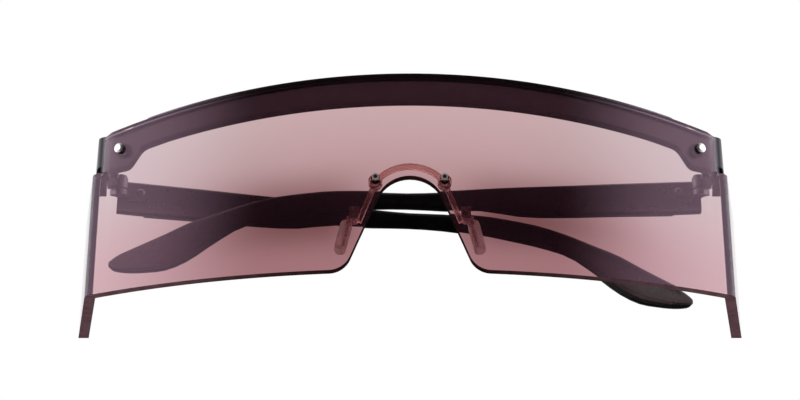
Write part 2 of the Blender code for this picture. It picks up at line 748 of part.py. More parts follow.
def make_bridge_fasteners(name, sign):
    """A small screw through the lens and an eyelet of the bridge, and its nut."""
    x, z = sign * BRIDGE_EYE_HALF, eye_height()
    seat = bridge_seat()
    nut_front = bridge_rear() + BRIDGE_EYE_PROUD + GAP
    reach = nut_front + BRIDGE_NUT_THICKNESS - seat
    screw = turned("bridge_screw_" + name, [
        (0, BRIDGE_SCREW_HEAD),
        (BRIDGE_SCREW_HEAD_RADIUS, BRIDGE_SCREW_HEAD),
        (BRIDGE_SCREW_HEAD_RADIUS, 0),
        (BRIDGE_SCREW_SHANK, 0),
        (BRIDGE_SCREW_SHANK, -reach),
        (0, -reach),
    ], (x, seat, z), (0, -1, 0))
    finish(screw, "steel")
    nut = rod("bridge_nut_" + name, BRIDGE_NUT_RADIUS, (x, nut_front + BRIDGE_NUT_THICKNESS, z),
              (x, nut_front, z), segments=6, tool=False)
    combine(nut, rod("bridge_nut_hole_" + name, BRIDGE_SCREW_SHANK + GAP, (x, seat, z),
                     (x, nut_front + OVERRUN, z)), "DIFFERENCE")
    finish(nut, "dark_steel", smooth=False)


def make_pad_arm(name, sign):
    """A block behind a bridge leg, with the pin that the pad rocks on."""
    front = bridge_rear() + GAP
    rear = front + ARM_BLOCK_DEPTH
    bottom = PAD_AXIS_HEIGHT - ARM_BLOCK_DROP
    arm = mirrored_box("pad_arm_" + name, (ARM_BLOCK_OUTER - ARM_BLOCK_WIDTH, front, bottom),
                       (ARM_BLOCK_OUTER, rear, bottom + ARM_BLOCK_HEIGHT), sign, tool=False)
    x = sign * PAD_AXIS_HALF
    pin = rod("pad_pin_" + name, ARM_PIN_RADIUS, (x, rear - ARM_BLOCK_DEPTH / 2, PAD_AXIS_HEIGHT),
              (x, PAD_EYE_Y + PAD_EYE_DEPTH + GAP, PAD_AXIS_HEIGHT))
    combine(arm, pin, "UNION")
    finish(arm, "arm")


def make_pad(name, sign):
    """A soft pad with a slot open to its front and top, and the stiff core in that slot."""
    axis = pivot("nose_pad_" + name + "_pivot", (sign * PAD_AXIS_HALF, PAD_EYE_Y, PAD_AXIS_HEIGHT),
                 0)
    offset = Vector((sign * (PAD_CENTRE_HALF - PAD_AXIS_HALF), PAD_CENTRE_Y - PAD_EYE_Y,
                     PAD_CENTRE_HEIGHT - PAD_AXIS_HEIGHT))
    turn = (0, -sign * PAD_TILT, -sign * PAD_SPLAY)

    half = Vector((PAD_THICKNESS / 2, PAD_WIDTH / 2, PAD_LENGTH / 2))
    pad = box("nose_pad_" + name, -half, half, tool=False)
    pad.location, pad.rotation_euler, pad.parent = offset, turn, axis
    edges = pad.modifiers.new("rounding", "BEVEL")
    edges.width = PAD_ROUND
    edges.segments = 4
    edges.limit_method = "NONE"

    plate_near = -PAD_THICKNESS / 2 + CORE_INNER_SKIN + GAP
    plate_low = Vector((plate_near, -half.y - CORE_PROUD, -half.z + CORE_BORDER + GAP))
    plate_high = Vector((plate_near + CORE_THICKNESS, half.y - CORE_BORDER - GAP,
                         half.z + CORE_RISE))
    room = Vector((GAP, GAP, GAP))
    slot_low, slot_high = plate_low - room, plate_high + room
    slot_low.y -= OVERRUN
    slot_high.z += OVERRUN
    slot = mirrored_box("pad_slot_" + name, slot_low, slot_high, sign)
    place_child(slot, offset, turn, axis)
    combine(pad, slot, "DIFFERENCE")
    eye_radius = ARM_PIN_RADIUS + GAP + PAD_EYE_WALL
    web_reach = PAD_WEB_END - PAD_AXIS_HALF
    web_half = eye_radius - PAD_EYE_WALL - GAP
    notch = mirrored_box("pad_notch_" + name, (-eye_radius, -GAP, -eye_radius - GAP),
                         (web_reach + GAP, PAD_EYE_DEPTH + GAP, half.z), sign)
    notch.parent = axis
    combine(pad, notch, "DIFFERENCE")
    finish(pad, "pad")

    core = rod("pad_core_" + name, eye_radius, (0, 0, 0), (0, PAD_EYE_DEPTH, 0), tool=False)
    core.parent = axis
    plate = mirrored_box("pad_plate_" + name, plate_low, plate_high, sign)
    place_child(plate, offset, turn, axis)
    combine(core, plate, "UNION")
    web = mirrored_box("pad_web_" + name, (0, PAD_EYE_WALL / 2, -web_half),
                       (web_reach, PAD_EYE_DEPTH - PAD_EYE_WALL / 2, web_half), sign)
    web.parent = axis
    combine(core, web, "UNION")
    hole = rod("pad_eye_hole_" + name, ARM_PIN_RADIUS + GAP, (0, -OVERRUN, 0),
               (0, PAD_EYE_DEPTH + OVERRUN, 0))
    hole.parent = axis
    combine(core, hole, "DIFFERENCE")
    finish(core, "core")


def place_child(obj, offset, turn, parent):
    """Move a box that was built about a turned frame's origin into that frame."""
    rotation = Matrix.Rotation(turn[2], 4, "Z") @ Matrix.Rotation(turn[1], 4, "Y")
    obj.parent = parent
    obj.matrix_local = Matrix.Translation(offset) @ rotation @ Matrix.Translation(obj.location)


def make_frame_hinge(name, sign):
    """The fixed half of a hinge: a leaf in the end piece's pocket with the upper knuckle."""
    inner = HINGE_HALF + FRAME_LEAF_INNER
    low = HINGE_HEIGHT - KNUCKLE_SPLIT_DROP + GAP / 2
    high = low + FRAME_KNUCKLE
    leaf = mirrored_box("frame_hinge_" + name, (inner, HINGE_Y - FRAME_LEAF_LENGTH, low),
                        (inner + FRAME_LEAF_THICKNESS, HINGE_Y, high), sign, tool=False)
    x = sign * HINGE_HALF
    knuckle = rod("frame_knuckle_" + name, KNUCKLE_RADIUS, (x, HINGE_Y, low), (x, HINGE_Y, high))
    combine(leaf, knuckle, "UNION")
    bore = rod("frame_hinge_bore_" + name, HINGE_PIN_RADIUS + GAP,
               (x, HINGE_Y, low - OVERRUN), (x, HINGE_Y, high + OVERRUN))
    combine(leaf, bore, "DIFFERENCE")
    combine(leaf, bpy.data.objects["leaf_screw_hole_" + name], "DIFFERENCE")
    finish(leaf, "steel")


def make_hinge_screw(name, sign):
    """The upright screw that a temple turns on."""
    top = HINGE_HEIGHT - KNUCKLE_SPLIT_DROP + GAP / 2 + FRAME_KNUCKLE + GAP
    reach = 2 * GAP + FRAME_KNUCKLE + TEMPLE_KNUCKLE
    screw = turned("hinge_screw_" + name, [
        (0, HINGE_HEAD),
        (HINGE_HEAD_RADIUS * math.sin(math.radians(40)), HINGE_HEAD - GAP / 2),
        (HINGE_HEAD_RADIUS, GAP),
        (HINGE_HEAD_RADIUS, 0),
        (HINGE_PIN_RADIUS, 0),
        (HINGE_PIN_RADIUS, -reach),
        (0, -reach),
    ], (sign * HINGE_HALF, HINGE_Y, top), (0, 0, 1))
    finish(screw, "steel")


def leaf_screw_height():
    """Height of the leaf screws, half way up the fixed leaves."""
    return HINGE_HEIGHT - KNUCKLE_SPLIT_DROP + GAP / 2 + FRAME_KNUCKLE / 2


def make_leaf_screw(name, sign):
    """The screw that holds the fixed leaf in its pocket."""
    seat = HINGE_HALF + FRAME_LEAF_INNER - GAP
    reach = 2 * GAP + FRAME_LEAF_THICKNESS + LEAF_SCREW_BITE - GAP
    screw = turned("frame_leaf_screw_" + name, [
        (0, LEAF_SCREW_HEAD),
        (LEAF_SCREW_HEAD_RADIUS, LEAF_SCREW_HEAD),
        (LEAF_SCREW_HEAD_RADIUS, 0),
        (LEAF_SCREW_SHANK, 0),
        (LEAF_SCREW_SHANK, -reach),
        (0, -reach),
    ], (sign * seat, HINGE_Y - LEAF_SCREW_BACK, leaf_screw_height()), (-sign, 0, 0))
    finish(screw, "dark_steel")


def smooth_shares(at):
    """Top and bottom drops at a share of the length, on smooth curves through the table."""
    rows = TEMPLE_PROFILE_SHARES
    last = len(rows) - 1
    i = max(0, min(last - 1, sum(1 for row in rows if row[0] <= at) - 1))
    start, end = rows[i], rows[i + 1]
    span = end[0] - start[0]
    t = (at - start[0]) / span
    values = []
    for column in (1, 2):
        slopes = []
        for j in (i, i + 1):
            a, b = rows[max(0, j - 1)], rows[min(last, j + 1)]
            slopes.append((b[column] - a[column]) / (b[0] - a[0]) * span)
        p, q = start[column], end[column]
        values.append((2 * t ** 3 - 3 * t ** 2 + 1) * p + (t ** 3 - 2 * t ** 2 + t) * slopes[0]
                      + (3 * t ** 2 - 2 * t ** 3) * q + (t ** 3 - t ** 2) * slopes[1])
    return values


def temple_bow(along):
    """How far the temple has curved inwards at a distance from the hinge."""
    return TEMPLE_BOW * (along / TEMPLE_LENGTH) ** 2


def temple_section(along):
    """Middle, half thickness, half height and squareness of the temple's section."""
    share = max(0.0, along / TEMPLE_LENGTH)
    top, bottom = (TEMPLE_ROOT_TOP - TEMPLE_DROP * drop for drop in smooth_shares(
        along / TEMPLE_LENGTH))
    thickness = TEMPLE_ROOT_THICKNESS + (TEMPLE_TIP_THICKNESS - TEMPLE_ROOT_THICKNESS) * share
    middle_x = TEMPLE_FACE + thickness / 2 - temple_bow(along)
    left = TEMPLE_LENGTH - along
    if left < TEMPLE_TIP_ROUNDING:
        shape = 1 - (1 - left / TEMPLE_TIP_ROUNDING) ** 2
        thickness *= 0.35 + 0.65 * math.sqrt(max(0.0, shape))
    power = TEMPLE_BOX_POWER + (TEMPLE_OVAL_POWER - TEMPLE_BOX_POWER) * min(1.0, 2 * share)
    return middle_x, (top + bottom) / 2, thickness / 2, (top - bottom) / 2, power


def temple_stations():
    """Distances from the hinge at which sections are drawn, closer together at the tip."""
    count = TEMPLE_STATIONS
    whole = TEMPLE_LENGTH + TEMPLE_OVERHANG
    return [-TEMPLE_OVERHANG + whole * math.sin(QUARTER * i / count) for i in range(count + 1)]


def make_temple(name, sign, axis):
    """A temple drawn open, pointing back from its hinge, as a loft of rounded sections."""
    bm = bmesh.new()
    rings = []
    for along in temple_stations():
        x, z, a, b, power = temple_section(along)
        ring = []
        for i in range(TEMPLE_RING):
            angle = math.tau * (i + 0.5) / TEMPLE_RING
            c, s = math.cos(angle), math.sin(angle)
            u = a * math.copysign(abs(c) ** (2 / power), c)
            v = b * math.copysign(abs(s) ** (2 / power), s)
            ring.append(bm.verts.new((x + u, along, z + v)))
        rings.append(ring)
    for near, far in zip(rings, rings[1:]):
        for i in range(TEMPLE_RING):
            j = (i + 1) % TEMPLE_RING
            bm.faces.new((near[i], far[i], far[j], near[j]))
    bm.faces.new(rings[0])
    bm.faces.new(reversed(rings[-1]))
    bmesh.ops.recalc_face_normals(bm, faces=bm.faces)
    temple = add_object("temple_" + name, mesh_from(bm, "temple_" + name, sign))
    temple.parent = axis
    bore = wire_tube("temple_bore_" + name, sign, WIRE_RADIUS + GAP,
                     -TEMPLE_OVERHANG - OVERRUN, WIRE_END + GAP, tool=True)
    bore.parent = axis
    combine(temple, bore, "DIFFERENCE")
    hole = rod("rivet_hole_" + name, RIVET_SHANK + GAP,
               (sign * (TEMPLE_FACE - OVERRUN), RIVET_BACK, -RIVET_DROP),
               (sign * (TEMPLE_FACE + RIVET_BITE + GAP), RIVET_BACK, -RIVET_DROP))
    hole.parent = axis
    combine(temple, hole, "DIFFERENCE")
    outer = TEMPLE_FACE + TEMPLE_ROOT_THICKNESS
    relief = mirrored_box("temple_relief_" + name,
                          (outer - RELIEF_DEPTH, -TEMPLE_OVERHANG - OVERRUN, -TEMPLE_DROP),
                          (outer + OVERRUN, RELIEF_LENGTH,
                           WING_HEIGHT + RELIEF_ABOVE_WING - HINGE_HEIGHT), sign)
    relief.parent = axis
    combine(temple, relief, "DIFFERENCE")
    finish(temple, "frame")
    wire = wire_tube("temple_core_" + name, sign, WIRE_RADIUS, WIRE_START, WIRE_END, tool=False)
    wire.parent = axis
    finish(wire, "dark_steel")


def wire_tube(name, sign, radius, start, end, tool):
    """A round wire that follows the temple's bow and drop."""
    curve = bpy.data.curves.new(name, "CURVE")
    curve.dimensions = "3D"
    curve.bevel_depth = radius
    curve.bevel_resolution = 2
    curve.use_fill_caps = True
    spline = curve.splines.new("POLY")
    spline.points.add(WIRE_POINTS - 1)
    for i, point in enumerate(spline.points):
        along = start + (end - start) * i / (WIRE_POINTS - 1)
        place = max(along, 0)
        x, z, a, b, _ = temple_section(place)
        inner = x - a
        point.co = (sign * (inner + 2 * a * WIRE_SHARE), along, z + b * WIRE_HEIGHT_SHARE, 1)
    return add_object(name, curve_to_mesh(curve, name), tool)


def make_temple_hinge(name, sign, axis):
    """The moving half of a hinge: one knuckle and a plate with a round end on the temple."""
    top = -KNUCKLE_SPLIT_DROP - GAP / 2
    bottom = top - TEMPLE_KNUCKLE
    face = TEMPLE_FACE - GAP
    inner = face - TEMPLE_LEAF_THICKNESS
    leaf = rod("temple_hinge_" + name, KNUCKLE_RADIUS, (0, 0, bottom), (0, 0, top), tool=False)
    leaf.parent = axis
    web = mirrored_box("temple_web_" + name, (0, -KNUCKLE_RADIUS / 2, bottom + GAP / 2),
                       (face - GAP / 2, TEMPLE_LEAF_START + RIVET_HEAD_RADIUS, top - GAP / 2), sign)
    radius = TEMPLE_LEAF_HEIGHT / 2
    end = TEMPLE_LEAF_LENGTH - radius
    outline = rounded([
        (TEMPLE_LEAF_START, -RIVET_DROP, 0),
        (TEMPLE_LEAF_START, -radius - RIVET_DROP, radius / 2),
        (end, -radius - RIVET_DROP, 0),
    ])
    outline += arc((end, -RIVET_DROP), radius, -QUARTER, QUARTER)[1:]
    outline += rounded([
        (end, radius - RIVET_DROP, 0),
        (TEMPLE_LEAF_START, radius - RIVET_DROP, radius / 2),
        (TEMPLE_LEAF_START, -RIVET_DROP, 0),
    ])[1:-1]
    low, high = sorted((sign * inner, sign * face))
    plate = outline_solid("temple_plate_" + name, outline, low, high, "X")
    bore = rod("temple_hinge_bore_" + name, HINGE_PIN_RADIUS + GAP, (0, 0, bottom - OVERRUN),
               (0, 0, top + OVERRUN))
    hole = rod("temple_plate_hole_" + name, RIVET_SHANK + GAP,
               (sign * (inner - OVERRUN), RIVET_BACK, -RIVET_DROP),
               (sign * (face + OVERRUN), RIVET_BACK, -RIVET_DROP))
    for tool, operation in ((web, "UNION"), (plate, "UNION"), (bore, "DIFFERENCE"),
                            (hole, "DIFFERENCE")):
        tool.parent = axis
        combine(leaf, tool, operation)
    finish(leaf, "steel")
    reach = TEMPLE_LEAF_THICKNESS + 2 * GAP + RIVET_BITE
    rivet = turned("temple_rivet_" + name, [
        (0, RIVET_HEAD),
        (RIVET_HEAD_RADIUS * math.sin(math.radians(40)), RIVET_HEAD),
        (RIVET_HEAD_RADIUS, RIVET_HEAD / 3),
        (RIVET_HEAD_RADIUS, 0),
        (RIVET_SHANK, 0),
        (RIVET_SHANK, -reach),
        (0, -reach),
    ], (sign * (inner - GAP), RIVET_BACK, -RIVET_DROP), (-sign, 0, 0))
    rivet.parent = axis
    finish(rivet, "steel")


def make_side(name, sign, fold):
    """Everything that comes once on each side."""
    make_lens_fasteners(name, sign)
    make_bridge_fasteners(name, sign)
    make_pad_arm(name, sign)
    make_pad(name, sign)
    make_frame_hinge(name, sign)
    make_hinge_screw(name, sign)
    make_leaf_screw(name, sign)
    axis = pivot("temple_" + name + "_pivot", (sign * HINGE_HALF, HINGE_Y, HINGE_HEIGHT),
                 sign * (QUARTER - fold))
    make_temple(name, sign, axis)
    make_temple_hinge(name, sign, axis)


def centre_depth():
    """Move the whole object so that the origin is in the middle of its depth."""
    foremost = bridge_seat() - BRIDGE_SCREW_HEAD
    frame = bpy.data.objects.new("sunglasses_frame", None)
    PARTS.objects.link(frame)
    frame.location = (0, -(foremost + LENS_DEPTH) / 2, 0)
    for obj in list(PARTS.objects) + list(CUTTERS.objects):
        if obj is not frame and obj.parent is None:
            obj.parent = frame


clear_scene()
MATERIALS = make_materials()
PARTS = new_collection("wraparound_sunglasses")
CUTTERS = new_collection("cutters")
make_lens()
make_bar()
make_bridge()
make_side("left", -1, FOLD_OUTER)
make_side("right", 1, FOLD_INNER)
centre_depth()
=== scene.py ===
import math

import bmesh
import bpy
from mathutils import Matrix, Vector


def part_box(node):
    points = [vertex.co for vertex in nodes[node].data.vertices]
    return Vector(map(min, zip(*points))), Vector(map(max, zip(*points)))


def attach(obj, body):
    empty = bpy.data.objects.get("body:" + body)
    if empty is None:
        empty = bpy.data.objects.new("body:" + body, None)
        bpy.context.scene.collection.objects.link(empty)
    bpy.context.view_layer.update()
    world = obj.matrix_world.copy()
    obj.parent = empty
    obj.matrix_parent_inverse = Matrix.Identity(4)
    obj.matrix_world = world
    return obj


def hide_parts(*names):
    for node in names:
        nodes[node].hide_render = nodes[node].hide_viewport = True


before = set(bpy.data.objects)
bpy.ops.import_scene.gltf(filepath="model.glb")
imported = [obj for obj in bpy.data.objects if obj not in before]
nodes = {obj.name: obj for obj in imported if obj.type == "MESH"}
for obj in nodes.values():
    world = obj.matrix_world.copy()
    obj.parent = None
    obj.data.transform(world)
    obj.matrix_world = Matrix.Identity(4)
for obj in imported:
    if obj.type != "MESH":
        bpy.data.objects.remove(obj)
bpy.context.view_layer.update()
scene = bpy.context.scene
scene.view_settings.view_transform = "Standard"

# Places taken from the part, in metres
LENS_FRONT_Y = -0.02532
LENS_RADIUS = 0.160
LENS_THICKNESS = 0.0025
WING_TOP = 0.0303
WING_SPLAY = math.radians(12)
FOLD_Y = -0.0065

# Sizes of what is added here
MERGE_GAP = 1e-6
# Size and lift of the painted shade sheets on the screws
LENS_BEVEL = 0.00022
SOCKET_SHADE_RADIUS = 0.00050
SOCKET_SHADE_LIFT = 0.00002
SMOOTH_ANGLE = math.radians(35)

# Least cosine at which a face is taken to be parallel to a side of the pane, and
# greatest rise of the normal on a face that stands upright
PARALLEL = 0.75
UPRIGHT = 0.2

# Tint of the pane: colours of its surface, with painted light paler to the sides, painted shade
# low in the middle and a painted shadow of the folded temples, and what its depth lets through
TINT_MIDDLE = (0.865, 0.720, 0.742)
# Painted light: paler, greyer tone on the upper sides of the pane
TINT_SIDES_LIT = (0.860, 0.870, 0.880)
# Painted shade: darker, deeper tone low in the middle of the pane
TINT_LOW_SHADE = (0.520, 0.305, 0.330)
# Painted shadow of the folded temples on the pane, on each side of the nose
TINT_TEMPLE_SHADOW = (0.46, 0.35, 0.345)
TINT_CLOUD = (0.985, 0.98, 0.98)
TINT_DEPTH = (0.735, 0.600, 0.610)

# Where the tint changes: distances from the middle and heights, in metres, from
# where a tint is missing to where it is full
# Painted light on the sides: how far out and how high it starts and is full
SIDES_LIT_ACROSS = (0.018, 0.066)
SIDES_LIT_UP = (0.002, 0.026)
# Painted shade low in the middle: heights and distances from the middle over which it grows
LOW_SHADE_DOWN = (0.044, 0.002)
LOW_SHADE_ACROSS = (0.086, 0.030)
# Painted shadow of the folded temples: its middle, its spread across, and where it starts and
# ends in height
TEMPLE_SHADOW_CENTRE = 0.0235
TEMPLE_SHADOW_ACROSS = (0.036, 0.002)
TEMPLE_SHADOW_INNER = (0.004, 0.020)
TEMPLE_SHADOW_FOOT = (0.0015, 0.0125)
TEMPLE_SHADOW_TOP = (0.028, 0.0125)

# Where black plastic shines: from dull to shiny across, and on the bare end walls
SHINE_ACROSS = (0.033, 0.062)
BARE_ACROSS = (0.0722, 0.0738)
# Painted shade: heights over which the bare end walls go from no shine at their foot to full
# shine
BARE_FOOT_SHADE_UP = (0.0330, 0.0336)
# Painted shade: upward share of the normal over which undersides lose most of their shine
SHADED_UNDERSIDE = (-0.75, -0.30)
SHADED_UNDERSIDE_SHINE = 0.10

# Range of a noise that is stretched over two colours, and how much denser a volume is
# than its strongest colour needs
NOISE_SPAN = (0.3, 0.7)
DENSITY_MARGIN = 1.02

# Pane rim: distances from the middle over which it turns paler
RIM_ACROSS = (0.014, 0.072)

# Floor, in metres
FLOOR_HALF = 3.0
FLOOR_DROP = 0.0001

# Light that reflections see: direction from and to, and strength there and there
GLOW_SIDES = (0.45, 0.80, 0.0, 1.0)
GLOW_FADE = (0.15, 0.85, 1.0, 0.0)
GLOW = 2.15
ROOM_BACK = (-0.7, 0.3, 0.08, 0.62)
FAR_BACK = (0.55, 0.88, 0.0, 0.40)
ROOM_BELOW = (-0.35, 0.15, 0.25, 1.0)

# Light that rough surfaces see, in the same form
PLAIN_BACK = (-0.7, 0.4, 0.75, 1.05)

# Lamp and colours of the world
WORLD_COLOUR = (1.0, 0.985, 1.0, 1)
WHITE = (1, 1, 1, 1)
LAMP_SIZE = (0.9, 0.6)
LAMP_POWER = 3.0
LAMP_PLACE = (0.0, 0.1, 1.1)

# Camera, fitted to the photo
CAMERA_LENS = 82.35
CAMERA_SENSOR = 36
CAMERA_SHIFT = -0.0125
CAMERA_NEAR = 0.01
CAMERA_PLACE = (0.0, LENS_FRONT_Y - 0.3801, -0.1373)
CAMERA_PITCH = math.radians(112)


def lin(r, g, b):
    """Linear colour of an 8-bit screen colour."""
    out = []
    for c in (r, g, b):
        c /= 255
        out.append(c / 12.92 if c <= 0.04045 else ((c + 0.055) / 1.055) ** 2.4)
    return tuple(out)


# Node helpers

class Tree:
    """Short ways to add and join nodes in a material or world."""

    def __init__(self, owner):
        owner.use_nodes = True
        self.t = owner.node_tree

    def add(self, kind, **props):
        node = self.t.nodes.new(kind)
        for key, value in props.items():
            setattr(node, key, value)
        return node

    def put(self, value, socket):
        """Links a socket to another, or sets it to a number or colour."""
        if hasattr(value, "is_output"):
            self.t.links.new(value, socket)
            return
        if isinstance(value, tuple) and len(value) == 3 and socket.type == "RGBA":
            value = (*value, 1)
        socket.default_value = value

    def math(self, op, a, b=None, clamp=False):
        node = self.add("ShaderNodeMath", operation=op, use_clamp=clamp)
        self.put(a, node.inputs[0])
        if b is not None:
            self.put(b, node.inputs[1])
        return node.outputs[0]

    def times(self, a, b):
        return self.math("MULTIPLY", a, b)

    def span(self, value, low, high, to_low=0.0, to_high=1.0):
        """Smooth step of a value from one range to another."""
        node = self.add("ShaderNodeMapRange", interpolation_type="SMOOTHSTEP")
        self.put(value, node.inputs["Value"])
        for name, number in (("From Min", low), ("From Max", high), ("To Min", to_low),
                             ("To Max", to_high)):
            node.inputs[name].default_value = number
        return node.outputs["Result"]

    def mix(self, fac, a, b, mode="MIX"):
        node = self.add("ShaderNodeMix", data_type="RGBA", blend_type=mode)
        self.put(fac, node.inputs["Factor"])
        self.put(a, node.inputs[6])
        self.put(b, node.inputs[7])
        return node.outputs[2]

    def either_path(self, path):
        """1 for a ray straight from the camera or on its way through glass."""
        return self.math("ADD", path.outputs["Is Camera Ray"],
                         path.outputs["Is Transmission Ray"], True)


class Mat(Tree):
    """A material on the Principled shader, textured in the object's own coordinates."""

    def __init__(self, name, **sockets):
        self.m = bpy.data.materials.new(name)
        super().__init__(self.m)
        self.s = self.t.nodes["Principled BSDF"]
        self.out = self.t.nodes["Material Output"]
        for key, value in sockets.items():
            self.s.inputs[key.replace("_", " ")].default_value = value
        self.pos = self.add("ShaderNodeTexCoord").outputs["Object"]
        split = self.add("ShaderNodeSeparateXYZ")
        self.put(self.pos, split.inputs[0])
        self.x, self.y, self.z = split.outputs

    def noise(self, scale, detail=3.0, stretch=None):
        vector = self.pos
        if stretch:
            node = self.add("ShaderNodeMapping")
            node.inputs["Scale"].default_value = stretch
            self.put(vector, node.inputs["Vector"])
            vector = node.outputs[0]
        node = self.add("ShaderNodeTexNoise")
        node.inputs["Scale"].default_value = scale
        node.inputs["Detail"].default_value = detail
        self.put(vector, node.inputs["Vector"])
        return node.outputs["Fac"]

    def between(self, fac, low, high):
        return self.mix(self.span(fac, *NOISE_SPAN), low, high)

    def colour(self, value):
        self.put(value, self.s.inputs["Base Color"])

    def rough(self, fac, low, high):
        self.put(self.span(fac, *NOISE_SPAN, low, high), self.s.inputs["Roughness"])

    def bump(self, height, strength, distance):
        node = self.add("ShaderNodeBump")
        node.inputs["Strength"].default_value = strength
        node.inputs["Distance"].default_value = distance
        self.put(height, node.inputs["Height"])
        self.put(node.outputs[0], self.s.inputs["Normal"])

    def absorb(self, left, depth):
        """Volume colour that leaves the given share of each colour after the depth."""
        rates = [-math.log(c) / depth for c in left]
        density = max(rates) * DENSITY_MARGIN
        node = self.add("ShaderNodeVolumeAbsorption")
        node.inputs["Color"].default_value = (*[1 - rate / density for rate in rates], 1)
        node.inputs["Density"].default_value = density
        self.put(node.outputs[0], self.out.inputs["Volume"])


# Materials

def lens_material():
    """Moulded pane: tinted through its depth, with painted light that makes it paler and greyer
    on the upper sides, painted shade that deepens it low in the middle, and a painted shadow of
    the folded temples on each side of the nose.
    """
    mat = Mat("lens_tinted", Transmission_Weight=1.0, IOR=1.49, Roughness=0.0,
              Specular_Tint=(1.0, 0.63, 0.90, 1))
    half = mat.math("ABSOLUTE", mat.x)
    # Painted light: mask of the paler, greyer tone on the upper sides
    edge = mat.times(mat.span(half, *SIDES_LIT_ACROSS), mat.span(mat.z, *SIDES_LIT_UP))
    # Painted shade: mask of the darker tone low in the middle
    low = mat.times(mat.span(mat.z, *LOW_SHADE_DOWN), mat.span(half, *LOW_SHADE_ACROSS))
    tone = mat.mix(edge, TINT_MIDDLE, TINT_SIDES_LIT)
    tone = mat.mix(low, tone, TINT_LOW_SHADE)
    # Painted shadow of the folded temples beside the nose
    away = mat.math("ABSOLUTE", mat.math("SUBTRACT", half, TEMPLE_SHADOW_CENTRE))
    across = mat.times(mat.span(away, *TEMPLE_SHADOW_ACROSS), mat.span(half, *TEMPLE_SHADOW_INNER))
    upward = mat.times(mat.span(mat.z, *TEMPLE_SHADOW_FOOT), mat.span(mat.z, *TEMPLE_SHADOW_TOP))
    tone = mat.mix(mat.times(across, upward), tone, mat.mix(1.0, tone, TINT_TEMPLE_SHADOW, "MULTIPLY"))
    faint = mat.between(mat.noise(35, 3), TINT_CLOUD, (1.0, 1.0, 1.0))
    mat.colour(mat.mix(1.0, tone, faint, "MULTIPLY"))
    mat.absorb(TINT_DEPTH, LENS_THICKNESS)
    return mat


def lens_edge_material():
    """Sawn rim of the pane, dark because light runs along the pane to it."""
    mat = Mat("lens_edge_dark", Specular_IOR_Level=0.0)
    grain = mat.noise(300, 4, (1, 1, 3))
    middle = mat.between(grain, lin(24, 11, 11), lin(38, 20, 20))
    ends = mat.between(grain, lin(76, 54, 58), lin(92, 69, 74))
    far = mat.span(mat.math("ABSOLUTE", mat.x), *RIM_ACROSS)
    mat.colour(mat.mix(far, middle, ends))
    mat.rough(mat.noise(1500, 5), 0.30, 0.46)
    mat.bump(mat.noise(1800, 3), 0.06, 0.00003)
    return mat


def lens_chamfer_highlight_material():
    """Fine smooth chamfer round the pane, a little paler than its rim: a painted highlight along
    the edge.
    """
    mat = Mat("lens_chamfer_highlight", Specular_IOR_Level=0.01)
    # Painted highlight: the chamfer's paler colour
    mat.colour(mat.between(mat.noise(260, 4), lin(58, 37, 41), lin(78, 52, 57)))
    mat.rough(mat.noise(1500, 5), 0.12, 0.24)
    return mat


def gloss_plastic(name, low, high, rough, shine, scale=1.0, tint=(1, 1, 1, 1), index=1.5,
                  clear=0.0):
    """Moulded plastic between two colours, with a given share of it see-through."""
    mat = Mat(name, Specular_IOR_Level=shine, Specular_Tint=tint, IOR=index,
              Transmission_Weight=clear)
    mat.colour(mat.between(mat.noise(160 * scale, 4), low, high))
    mat.rough(mat.noise(420 * scale, 4), *rough)
    mat.bump(mat.noise(200 * scale, 2), 0.02, 0.00002)
    return mat


def polish_and_shade(mat, near, far, bare_shine=None):
    """Shine that grows from the middle to the ends, with painted shade that dulls it on
    undersides.

    With bare_shine, the bare outer walls have that shine, and none at their foot, where that is
    painted shade.
    """
    half = mat.math("ABSOLUTE", mat.x)
    level = mat.span(half, *SHINE_ACROSS, near, far)
    if bare_shine is not None:
        bare = mat.span(half, *BARE_ACROSS)
        # Painted shade: no shine at the foot of the bare walls
        wall = mat.span(mat.z, *BARE_FOOT_SHADE_UP, 0.0, bare_shine)
        covered = mat.times(level, mat.math("SUBTRACT", 1.0, bare))
        level = mat.math("ADD", covered, mat.times(bare, wall))
    split = mat.add("ShaderNodeSeparateXYZ")
    mat.put(mat.add("ShaderNodeNewGeometry").outputs["Normal"], split.inputs[0])
    # Painted shade: undersides keep only a small share of the shine, so they look darker
    upward = mat.span(split.outputs[2], *SHADED_UNDERSIDE, SHADED_UNDERSIDE_SHINE, 1.0)
    mat.put(mat.times(level, upward), mat.s.inputs["Specular IOR Level"])


def bridge_material():
    """Rose clear plastic, cloudy enough to blur what is behind it."""
    mat = Mat("bridge_rose", Transmission_Weight=0.80, IOR=1.36, Specular_IOR_Level=0.4)
    mat.colour(mat.between(mat.noise(220, 4), (0.86, 0.50, 0.45), (0.98, 0.64, 0.57)))
    mat.rough(mat.noise(900, 4), 0.10, 0.22)
    return mat


def pad_material():
    """Soft clear silicone with a bloom on its skin."""
    mat = Mat("pad_silicone", Transmission_Weight=0.80, IOR=1.28, Specular_IOR_Level=0.5)
    mat.colour(mat.between(mat.noise(300, 4), lin(252, 238, 235), lin(255, 248, 246)))
    mat.rough(mat.noise(1200, 4), 0.42, 0.54)
    mat.bump(mat.noise(900, 3), 0.06, 0.00004)
    return mat


def metal(name, low, high, rough, amount=1.0):
    mat = Mat(name, Metallic=amount)
    mat.colour(mat.between(mat.noise(500, 5), low, high))
    mat.rough(mat.noise(1600, 5, (1, 1, 6)), rough, rough + 0.12)
    mat.bump(mat.noise(2400, 4, (1, 1, 8)), 0.05, 0.00002)
    return mat


